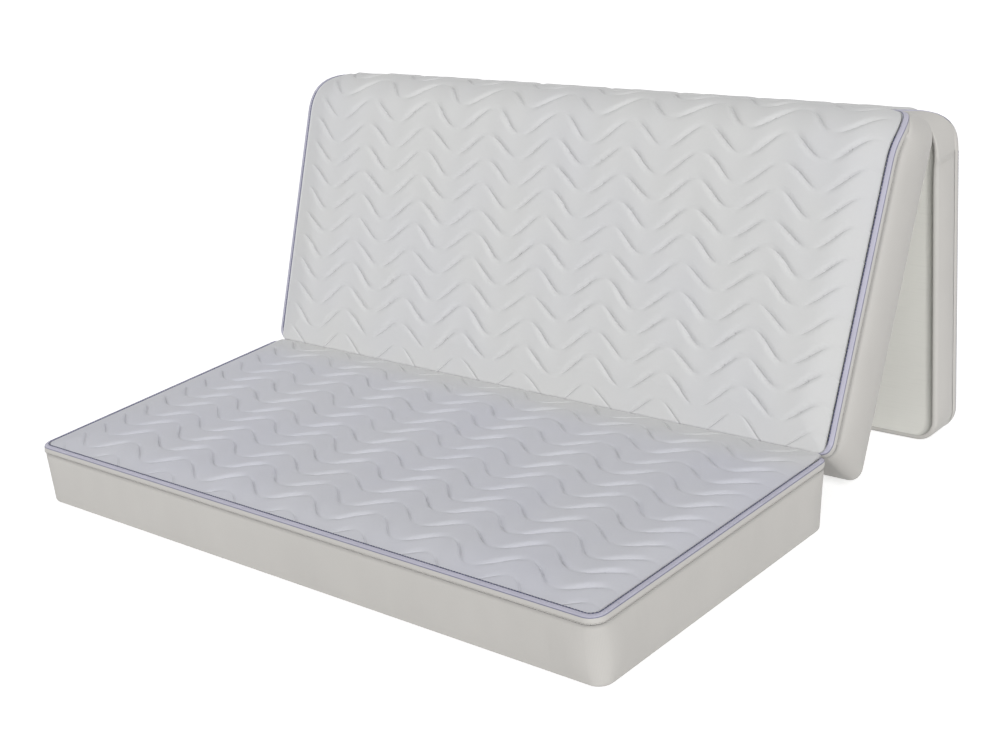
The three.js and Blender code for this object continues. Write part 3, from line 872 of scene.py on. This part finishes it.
def make_fold_cloth(name, fold, first, second, reach, half):
    """A strip of cloth folded along a hinge line. Its section runs from reach out along
    the first direction to the fold, sqrt(leg leg + soft soft) - soft from it at a leg's
    length, and out again along the second."""
    soft, thickness = 0.0015, 0.0008
    share = np.linspace(-1.0, 1.0, 21)
    away = np.sqrt((share * reach) ** 2 + soft**2) - soft
    path = away[:, None] * np.where(share[:, None] < 0, first, second)
    middle = unit(first + second)
    tangent = np.gradient(path, axis=0)
    tangent /= np.maximum(np.linalg.norm(tangent, axis=1, keepdims=True), 1e-9)
    normal = np.cross(tangent, np.array([1.0, 0.0, 0.0]))
    normal = normal * np.sign(normal @ middle)[:, None]
    outer = path + normal * (0.0004 - 0.0003 * np.abs(share))[:, None]
    ring = np.concatenate([outer, (outer - normal * thickness)[::-1]])
    x = np.linspace(-half, half, 60)
    points = fold + ring[None, :, :] + x[:, None, None] * np.array([1.0, 0.0, 0.0])
    across = np.concatenate([share, share[::-1]]) * reach
    places = np.stack(np.broadcast_arrays(x[:, None], across[None, :], 0 * x[:, None]), axis=-1)
    return tube(name, points, places, open_ends=True)


# Materials


def reckoning(operation, swapped=False):
    """A method that joins a wire and other terms in a math node."""
    def method(self, *others):
        terms = (*others, self) if swapped else (self, *others)
        vector = any(isinstance(term, Wire) and term.socket.type != "VALUE" for term in terms)
        kind = "ShaderNodeVectorMath" if vector else "ShaderNodeMath"
        return self.nodes.wire(kind, 0, {"operation": operation}, dict(enumerate(terms)))

    return method


class Wire:
    """A value, vector or colour on its way between shader nodes. Sums, differences,
    products and quotients of wires add the nodes that work them out."""

    def __init__(self, nodes, socket):
        self.nodes = nodes
        self.socket = socket

    __add__ = reckoning("ADD")
    __radd__ = reckoning("ADD", swapped=True)
    __sub__ = reckoning("SUBTRACT")
    __rsub__ = reckoning("SUBTRACT", swapped=True)
    __mul__ = reckoning("MULTIPLY")
    __truediv__ = reckoning("DIVIDE")
    __abs__ = reckoning("ABSOLUTE")
    sine = reckoning("SINE")
    cosine = reckoning("COSINE")
    fraction = reckoning("FRACT")
    greatest = reckoning("MAXIMUM")

    def step(self, low, high):
        """0 below low, 1 above high, and smooth between. High may be the lower one."""
        settings = {"interpolation_type": "SMOOTHSTEP"}
        inputs = {"Value": self, "From Min": low, "From Max": high}
        return self.nodes.wire("ShaderNodeMapRange", "Result", settings, inputs)

    def part(self, axis):
        return self.nodes.wire("ShaderNodeSeparateXYZ", axis, {}, {0: self})


class Nodes:
    """A tree of shader nodes under construction."""

    def __init__(self, tree):
        self.tree = tree

    def node(self, kind, settings, inputs):
        """Adds a node, sets it up, then sets or links its inputs."""
        node = self.tree.nodes.new(kind)
        for key, value in settings.items():
            setattr(node, key, value)
        for key, value in inputs.items():
            self.feed(node.inputs[key], value)
        return node

    def wire(self, kind, output, settings, inputs):
        return Wire(self, self.node(kind, settings, inputs).outputs[output])

    def feed(self, socket, value):
        if isinstance(value, Wire):
            self.tree.links.new(value.socket, socket)
        elif socket.type == "RGBA":
            socket.default_value = (*value, 1.0)
        else:
            socket.default_value = value

    def rays(self, *kinds):
        """1 for the named kinds of ray and 0 for all others."""
        path = self.node("ShaderNodeLightPath", {}, {})
        share, *others = [Wire(self, path.outputs[kind]) for kind in kinds]
        for other in others:
            share = share.greatest(other)
        return share


class Cloth(Nodes):
    """A material under construction, around one Principled shader."""

    def __init__(self, name, scene):
        self.material = bpy.data.materials.new(f"dressed_{name}")
        self.material.use_nodes = True
        super().__init__(self.material.node_tree)
        self.shader = next(n for n in self.tree.nodes if n.type == "BSDF_PRINCIPLED")
        self.sizes = scene.mattress_sizes
        self.colours = scene.mattress_colours

    def own_place(self):
        """The place on the piece's own cloth."""
        return self.wire("ShaderNodeAttribute", "Vector", {"attribute_name": "cloth_place"}, {})

    def object_place(self):
        return self.wire("ShaderNodeTexCoord", "Object", {}, {})

    def stretched(self, vector, scale):
        return self.wire("ShaderNodeMapping", "Vector", {}, {"Vector": vector, "Scale": scale})

    def joined(self, x, y, z):
        return self.wire("ShaderNodeCombineXYZ", "Vector", {}, {0: x, 1: y, 2: z})

    def noise(self, vector, scale, detail, roughness=0.5, distortion=0.0):
        inputs = {"Vector": vector, "Scale": scale, "Detail": detail, "Roughness": roughness,
                  "Distortion": distortion}
        return self.wire("ShaderNodeTexNoise", "Fac", {}, inputs)

    def cells(self, vector, scale, randomness=1.0):
        inputs = {"Vector": vector, "Scale": scale, "Randomness": randomness}
        return self.wire("ShaderNodeTexVoronoi", "Distance", {}, inputs)

    def tinted(self, colour, *tints):
        """The colour with tints mixed over it in turn, each a share and a colour."""
        for share, tint in tints:
            inputs = {0: share, 6: colour, 7: tint}
            colour = self.wire("ShaderNodeMix", 2, {"data_type": "RGBA"}, inputs)
        return colour

    def finish(self, colour, roughness, bumps, **sockets):
        """Sets the shader's sockets, named with underscores for spaces. Bumps lie one
        over another, each a height, a distance and a strength."""
        normal = {}
        for height, distance, strength in bumps:
            inputs = {"Height": height, "Distance": distance, "Strength": strength, **normal}
            normal = {"Normal": self.wire("ShaderNodeBump", "Normal", {}, inputs)}
        sockets.update(Base_Color=colour, Roughness=roughness, **normal)
        for name, value in sockets.items():
            self.feed(self.shader.inputs[name.replace("_", " ")], value)
        return self.material


def shade(colour, factor):
    return tuple(channel * factor for channel in colour)


def quilted_cloth(cloth):
    """Knitted cloth, drawn in along the stitched waves. The nearest wave is at
    (0.5 - |f - 0.5|) pitch, f being the fraction of the waves' phase. The seat's cloth
    has painted shade, cooler and darker, fading out towards the fold, the creases have a
    little painted shade, and gathers run along the tape, where the quilt is lowest."""
    sizes, colours = cloth.sizes, cloth.colours
    place = cloth.own_place()
    x, u = place.part(0), place.part(1)
    low = sizes.tape_width + SEAM_GAP
    turn, phase = wave_phase(sizes, x, u - low, u, Wire.sine, Wire.cosine)
    away = (0.5 - abs(phase.fraction() - 0.5)) * sizes.pitch
    steep = turn.sine() * turn.sine()
    slow = cloth.noise(place, 5.0, 2.0)
    depth = steep.step(0.02, 0.75) * (0.55 + slow * 0.9) + 0.05
    crease = away.step(0.0036, 0.0) * depth
    pull = away.step(0.016, 0.0) * depth
    pucker = cloth.noise(cloth.joined(x * 220.0, u * 90.0, slow), 1.0, 2.0, 0.6)
    pucker = pucker * away.step(0.02, 0.002) * depth
    knit = cloth.cells(cloth.stretched(place, (900.0, 620.0, 0.0)), 1.0, 0.35)
    fuzz = cloth.noise(place, 260.0, 3.0, 0.6)
    tone = cloth.noise(place, 3.2, 3.0, 0.55)
    gathers = cloth.noise(place, 90.0, 2.0) * place.part(2).step(0.0018, 0.0004)
    # Where the seat's painted shade falls: fully on the seat, fading out over the last 13 cm before the
    # fold.
    seat = cloth.object_place().part(1).step(0.1, -0.03)
    colour = cloth.tinted(
        colours.quilt,
        # Painted shade on the seat, and patches of cooler tone at random.
        (seat * 0.7 + tone.step(0.38, 0.66) * 0.2, colours.quilt_patches_and_painted_shade),
        (fuzz.step(0.3, 0.75) * 0.10, shade(colours.quilt, 1.12)),
        # Painted shade along the stitched creases.
        (crease * 0.05, shade(colours.quilt_patches_and_painted_shade, 0.62)),
    )
    bumps = (
        (knit, 0.00025, 0.5),
        (fuzz, 0.0004, 0.5),
        (pucker, 0.0009, 0.7),
        (gathers, 0.0006, 0.6),
        (1.0 - crease * 0.8 - pull * 0.2, 0.0014, 0.9),
    )
    return cloth.finish(
        colour, 0.74 + fuzz * 0.14, bumps, Sheen_Weight=0.18, Sheen_Roughness=0.45,
        Specular_IOR_Level=0.3,
    )


def border_cloth(cloth):
    """Smooth knitted cloth with a satin touch, and slight upright drag lines."""
    base = cloth.colours.border
    place, object_place = cloth.own_place(), cloth.object_place()
    drag = cloth.noise(cloth.stretched(place, (26.0, 5.0, 1.0)), 1.0, 2.0)
    rib = (place.part(0) * 2600.0).sine() * 0.5 + (place.part(1) * 3400.0).sine() * 0.5
    fuzz = cloth.noise(object_place, 320.0, 3.0, 0.6)
    tone = cloth.noise(object_place, 4.0, 3.0)
    colour = cloth.tinted(
        base,
        (tone.step(0.35, 0.7) * 0.55, shade(base, 0.93)),
        (fuzz.step(0.35, 0.8) * 0.12, shade(base, 1.10)),
    )
    bumps = (rib, 0.00012, 0.6), (fuzz, 0.0003, 0.4), (drag, 0.004, 0.30)
    return cloth.finish(
        colour, 0.56 + fuzz * 0.14, bumps, Sheen_Weight=0.12, Sheen_Roughness=0.4,
        Specular_IOR_Level=0.4,
    )


def binding_tape(cloth):
    """Woven tape: fine ribs across it and a darker line along both edges, partly the
    tape's own edge colour and partly painted shade of the seams. The inner line lies
    under the stitches, where the quilt's cloth ends. The outer one is TAPE_REACH round
    the edge, and the border's cloth shows below it."""
    colours = cloth.colours
    place = cloth.own_place()
    along, across = place.part(0), place.part(1)
    inner = across.step(STITCH_INSET + 0.0014, STITCH_INSET + 0.0006)
    outer = across.step(TAPE_REACH - 0.0012, TAPE_REACH)
    quilted = across.step(STITCH_INSET - 0.0006, STITCH_INSET - 0.0014)
    facing = across.step(TAPE_REACH + 0.0006, TAPE_REACH + 0.0014)
    # Dark edge lines: partly the tape's own edge colour, partly painted shade in the seams.
    edge_line_and_seam_shade = inner * (1.0 - quilted) + outer * (1.0 - facing)
    rib = (along * (2 * math.pi / RIB_PITCH)).sine() * (1.0 - facing - quilted)
    fuzz = cloth.noise(place, 420.0, 2.0)
    tone = cloth.noise(place, 14.0, 3.0)
    colour = cloth.tinted(
        colours.tape,
        (tone.step(0.3, 0.7) * 0.5, shade(colours.tape, 1.10)),
        ((rib * 0.5 + 0.5) * 0.12, shade(colours.tape, 0.78)),
        # The dark edge colour, partly painted seam shade.
        (edge_line_and_seam_shade * 0.9, colours.tape_edge_and_seam_shade),
        (facing, colours.border),
        (quilted, colours.quilt),
    )
    bumps = (rib, 0.0002, 0.6), (fuzz, 0.0002, 0.4), (1.0 - edge_line_and_seam_shade, 0.0008, 0.7)
    return cloth.finish(
        colour, 0.48 + fuzz * 0.16, bumps, Sheen_Weight=0.1, Specular_IOR_Level=0.4)


def underside_cloth(cloth):
    """Plain woven cloth: two sets of fine threads over and under each other."""
    base = cloth.colours.underside
    own = cloth.own_place()
    warp, weft = ((own.part(axis) * (2 * math.pi / WEAVE_PITCH)).sine() for axis in (0, 1))
    tone = cloth.noise(cloth.object_place(), 3.0, 4.0, 0.55)
    slub = cloth.noise(cloth.stretched(own, (14.0, 420.0, 1.0)), 1.0, 2.0)
    colour = cloth.tinted(
        base,
        (tone.step(0.3, 0.7) * 0.5, shade(base, 0.92)),
        (slub.step(0.45, 0.8) * 0.25, shade(base, 0.86)),
    )
    bumps = (warp * weft, 0.0002, 0.6), (slub, 0.0004, 0.4)
    return cloth.finish(
        colour, 0.78 + tone * 0.12, bumps, Sheen_Weight=0.1, Specular_IOR_Level=0.25)


def foam(cloth):
    """Cut foam: small open cells of several sizes, with painted shade in the pores."""
    base = cloth.colours.foam
    place = cloth.object_place()
    pores = cloth.cells(place, 340.0)
    large = cloth.noise(place, 90.0, 4.0, 0.7)
    colour = cloth.tinted(
        base,
        # Painted shade in the pores.
        (pores.step(0.5, 0.1) * 0.4, shade(base, 0.7)),
        (large.step(0.4, 0.7) * 0.2, shade(base, 1.15)),
    )
    return cloth.finish(
        colour, 0.9 + large * 0.08, [(pores, 0.0012, 0.8)], Specular_IOR_Level=0.2)


def wadding(cloth):
    """Fibre wadding: matted fibres that run every way."""
    base = cloth.colours.wadding
    place = cloth.object_place()
    fibre = cloth.noise(cloth.stretched(place, (60.0, 420.0, 420.0)), 1.0, 4.0, 0.7, 1.5)
    matting = cloth.noise(place, 30.0, 3.0)
    colour = cloth.tinted(base, (fibre.step(0.35, 0.7) * 0.3, shade(base, 0.82)))
    bumps = (fibre, 0.001, 0.7), (matting, 0.003, 0.5)
    return cloth.finish(
        colour, 0.88 + matting * 0.1, bumps, Sheen_Weight=0.3, Specular_IOR_Level=0.2)


def twisted(cloth, tint):
    """Twisted thread: slanting plies round each stitch, with a painted highlight along each ply."""
    place = cloth.own_place()
    ply = (place.part(0) * (2 * math.pi / PLY_PITCH) + place.part(1) * 2.0).sine()
    tone = cloth.noise(cloth.object_place(), 60.0, 2.0)
    colour = cloth.tinted(
        tint,
        # Painted highlight along the crest of each ply.
        (ply.step(-0.2, 1.0) * 0.3, shade(tint, 1.3)),
        (tone.step(0.3, 0.7) * 0.2, shade(tint, 1.2)),
    )
    return cloth.finish(
        colour, 0.42 + tone * 0.12, [(ply, 0.0002, 0.8)], Specular_IOR_Level=0.45)


def thread(cloth):
    return twisted(cloth, cloth.colours.thread)


def pale_thread(cloth):
    return twisted(cloth, shade(cloth.colours.border, 0.92))


MAKERS = {
    maker.__name__: maker
    for maker in (
        quilted_cloth, border_cloth, binding_tape, underside_cloth, foam, wadding, thread,
        pale_thread,
    )
}


def finished(context, piece, slot, body, nodes, finish=None):
    """Gives a piece the material named by finish, or else by slot, and its body, and hides the CAD nodes
    that it stands for.
    """
    finish = finish or slot
    material = bpy.data.materials.get(f"dressed_{finish}")
    piece.data.materials.append(material or MAKERS[finish](Cloth(finish, context.scene)))
    if body:
        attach(piece, body)
    if nodes:
        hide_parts(*nodes)


def dress_panels(context, maker, slot, part):
    """Makes one kind of piece for each panel, to stand for that part of its solids."""
    for name, panel in make_panels(context.scene.mattress_sizes).items():
        piece = maker(panel)
        finished(context, piece, slot, panel.body, [f"{name}_{part}"])
    return {"FINISHED"}


# Operators


class MATTRESS_OT_quilted_faces(bpy.types.Operator):
    """Make the quilted face of each panel"""

    bl_idname = "mattress.quilted_faces"
    bl_label = "Quilted faces"

    def execute(self, context):
        return dress_panels(context, make_quilt, "quilted_cloth", "quilt")


class MATTRESS_OT_borders(bpy.types.Operator):
    """Make the padded border round the sides of each panel"""

    bl_idname = "mattress.borders"
    bl_label = "Borders"

    def execute(self, context):
        return dress_panels(context, make_border, "border_cloth", "border")


class MATTRESS_OT_undersides(bpy.types.Operator):
    """Make the cloth under each panel"""

    bl_idname = "mattress.undersides"
    bl_label = "Undersides"

    def execute(self, context):
        return dress_panels(context, make_underside, "underside_cloth", "underside")


class MATTRESS_OT_tapes(bpy.types.Operator):
    """Make the binding tape round each quilted face"""

    bl_idname = "mattress.tapes"
    bl_label = "Binding tapes"

    def execute(self, context):
        return dress_panels(context, make_tape, "binding_tape", "tape")


class MATTRESS_OT_stitching(bpy.types.Operator):
    """Sew the rows of stitches along the tapes"""

    bl_idname = "mattress.stitching"
    bl_label = "Stitching"

    def execute(self, context):
        for name, panel in make_panels(context.scene.mattress_sizes).items():
            rows = {
                "inner": (SEAM_GAP + STITCH_INSET, STITCH_LIFT, True),
                "outer": (panel.band + 0.0006, STITCH_INSET - QUILT, False),
            }
            if panel.stands_on_end:
                rows["outer"] = (panel.band - STITCH_INSET, STITCH_LIFT, True)
            for side in ("left", "right") if name == "back" else ("",):
                for row, place in rows.items():
                    node = "_".join(word for word in (name, "stitching", side, row) if word)
                    pale = row == "outer" and not panel.stands_on_end
                    piece = make_stitching(panel, f"{node}_thread", side, *place)
                    finish = "pale_thread" if pale else "thread"
                    finished(context, piece, "thread", panel.body, [node], finish)
        return {"FINISHED"}


class MATTRESS_OT_filling(bpy.types.Operator):
    """Make the foam core and the comfort layer of each panel"""

    bl_idname = "mattress.filling"
    bl_label = "Filling"

    def execute(self, context):
        for name, panel in make_panels(context.scene.mattress_sizes).items():
            core = make_block(panel, f"{name}_foam_block", CLOTH + GAP, panel.core_top)
            finished(context, core, "foam", panel.body, [f"{name}_foam_core"])
            top = panel.thickness - QUILT - ARC_GAP
            layer = make_block(panel, f"{name}_wadding_layer", panel.core_top + GAP, top)
            finished(context, layer, "wadding", panel.body, [f"{name}_comfort_layer"])
        return {"FINISHED"}


class MATTRESS_OT_fold_cloths(bpy.types.Operator):
    """Make the strips of cloth that join the panels at their folds"""

    bl_idname = "mattress.fold_cloths"
    bl_label = "Fold cloths"

    def execute(self, context):
        sizes = context.scene.mattress_sizes
        panels = make_panels(sizes)
        seat, back, rear = panels.values()
        front = (seat, back, -seat.axes[1], back.axes[1])
        top = (back, rear, back.axes[2], rear.axes[2])
        folds = (
            ("seat_back_fold", "front_fold_cloth", "quilted_cloth", *front,
             FRONT_FOLD_REACH, sizes.width / 2 - FOLD_CORNER),
            ("back_rear_fold", "top_fold_cloth", "border_cloth", *top,
             TOP_FOLD_REACH, sizes.top_width / 2 - TOP_CORNER),
        )
        for joint, name, slot, one, other, first, second, reach, half in folds:
            fold = np.array(FOLDS[joint]["pos_m"])
            strip = make_fold_cloth(name, fold, first, second, reach, half)
            finished(context, strip, slot, None, [])
            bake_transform(strip)
        return {"FINISHED"}


class MATTRESS_OT_studio(bpy.types.Operator):
    """Set up the floor, the light and the camera"""

    bl_idname = "mattress.studio"
    bl_label = "Studio"

    def execute(self, context):
        studio = context.scene.mattress_studio
        make_floor()
        light_from("key_light", studio.key_light, azimuth=-44.0, elevation=27.0, spread=18.0)
        light_from("fill_light", studio.fill_light, azimuth=150.0, elevation=35.0, spread=50.0)
        make_surround(context.scene, studio.surround)
        make_camera(context.scene, studio.focal_length)
        context.scene.view_settings.view_transform = "Standard"
        return {"FINISHED"}


def make_floor():
    """A wide pale floor. To the camera it also glows a little, so that it reads as
    white where the light reaches it and keeps the shadow."""
    reach, depth, count = 30.0, -0.0005, 5
    line = np.linspace(-reach, reach, count)
    x, y, z = np.meshgrid(line, line, depth, indexing="ij")
    points = np.stack([x, y, z], axis=-1).reshape(-1, 3)
    mesh = bpy.data.meshes.new("floor")
    mesh.from_pydata(points.tolist(), [], grid_quads(count, count)[:, ::-1].tolist())
    floor = bpy.data.objects.new("floor", mesh)
    bpy.context.scene.collection.objects.link(floor)
    material = bpy.data.materials.new("floor")
    material.use_nodes = True
    nodes = Nodes(material.node_tree)
    nodes.tree.nodes.clear()
    glow = nodes.rays("Is Camera Ray", "Is Glossy Ray") * 0.55
    diffuse = nodes.wire("ShaderNodeBsdfDiffuse", 0, {}, {"Color": (0.8, 0.8, 0.8)})
    emission = nodes.wire("ShaderNodeEmission", 0, {}, {"Strength": glow})
    both = nodes.wire("ShaderNodeAddShader", 0, {}, {0: diffuse, 1: emission})
    nodes.node("ShaderNodeOutputMaterial", {}, {"Surface": both})
    mesh.materials.append(material)


def light_from(name, strength, azimuth, elevation, spread):
    """A soft distant lamp. Azimuth 0 is in front of the mattress, and a negative one
    is to its right."""
    lamp = bpy.data.lights.new(name, "SUN")
    lamp.energy = strength
    lamp.angle = math.radians(spread)
    thing = bpy.data.objects.new(name, lamp)
    bpy.context.scene.collection.objects.link(thing)
    tilt = math.radians(90.0 - elevation)
    thing.rotation_euler = (tilt, 0.0, math.radians(-azimuth))


def make_surround(scene, strength):
    """Even light from all round, which the camera and reflections see as white."""
    scene.world = bpy.data.worlds.new("surround")
    scene.world.use_nodes = True
    nodes = Nodes(scene.world.node_tree)
    nodes.tree.nodes.clear()
    seen = nodes.rays("Is Camera Ray", "Is Transmission Ray", "Is Glossy Ray")
    inputs = {"Value": seen, "To Min": strength, "To Max": 1.0}
    level = nodes.wire("ShaderNodeMapRange", "Result", {}, inputs)
    white = {"Color": (1.0, 1.0, 1.0), "Strength": level}
    back = nodes.wire("ShaderNodeBackground", 0, {}, white)
    nodes.node("ShaderNodeOutputWorld", {}, {"Surface": back})


def make_camera(scene, focal_length):
    """The camera of the photograph, from its three turns and its place."""
    yaw, pitch, roll = np.radians(CAMERA_TURNS)
    x, y, z = CAMERA_PLACE
    ahead = np.array([
        math.sin(yaw) * math.cos(pitch), math.cos(yaw) * math.cos(pitch), math.sin(pitch)])
    level = np.array([math.cos(yaw), -math.sin(yaw), 0.0])
    over = np.cross(level, ahead)
    right = math.cos(roll) * level + math.sin(roll) * over
    up = math.cos(roll) * over - math.sin(roll) * level
    data = bpy.data.cameras.new("camera")
    data.sensor_width = SENSOR_WIDTH
    data.lens = focal_length * SENSOR_WIDTH / PICTURE_WIDTH
    data.clip_start, data.clip_end = 0.05, 200.0
    camera = bpy.data.objects.new("camera", data)
    scene.collection.objects.link(camera)
    matrix = np.eye(4)
    matrix[:3, 0], matrix[:3, 1], matrix[:3, 2] = right, up, -ahead
    matrix[:3, 3] = (x, y + FOLDS["seat_back_fold"]["pos_m"][1], z)
    camera.matrix_world = Matrix(matrix.tolist())
    scene.camera = camera


class MATTRESS_PT_pieces(bpy.types.Panel):
    """Lists the steps that make the mattress"""

    bl_idname = "MATTRESS_PT_pieces"
    bl_label = "Folding mattress"
    bl_space_type = "VIEW_3D"
    bl_region_type = "UI"
    bl_category = "Mattress"

    def draw(self, context):
        for operator in OPERATORS:
            self.layout.operator(operator.bl_idname)
        scene = context.scene
        for group in (scene.mattress_sizes, scene.mattress_colours, scene.mattress_studio):
            box = self.layout.box()
            for name in group.__annotations__:
                box.prop(group, name)


OPERATORS = (
    MATTRESS_OT_quilted_faces,
    MATTRESS_OT_borders,
    MATTRESS_OT_undersides,
    MATTRESS_OT_tapes,
    MATTRESS_OT_stitching,
    MATTRESS_OT_filling,
    MATTRESS_OT_fold_cloths,
    MATTRESS_OT_studio,
)
GROUPS = (MattressSizes, MattressColours, MattressStudio)


def register():
    for group in (*GROUPS, *OPERATORS, MATTRESS_PT_pieces):
        bpy.utils.register_class(group)
    bpy.types.Scene.mattress_sizes = PointerProperty(type=MattressSizes)
    bpy.types.Scene.mattress_colours = PointerProperty(type=MattressColours)
    bpy.types.Scene.mattress_studio = PointerProperty(type=MattressStudio)


def unregister():
    del bpy.types.Scene.mattress_studio
    del bpy.types.Scene.mattress_colours
    del bpy.types.Scene.mattress_sizes
    for group in reversed((*GROUPS, *OPERATORS, MATTRESS_PT_pieces)):
        bpy.utils.unregister_class(group)


def main():
    register()
    bpy.ops.mattress.studio()
    bpy.ops.mattress.quilted_faces()
    bpy.ops.mattress.borders()
    bpy.ops.mattress.undersides()
    bpy.ops.mattress.tapes()
    bpy.ops.mattress.stitching()
    bpy.ops.mattress.filling()
    bpy.ops.mattress.fold_cloths()


if __name__ == "__main__":
    main()
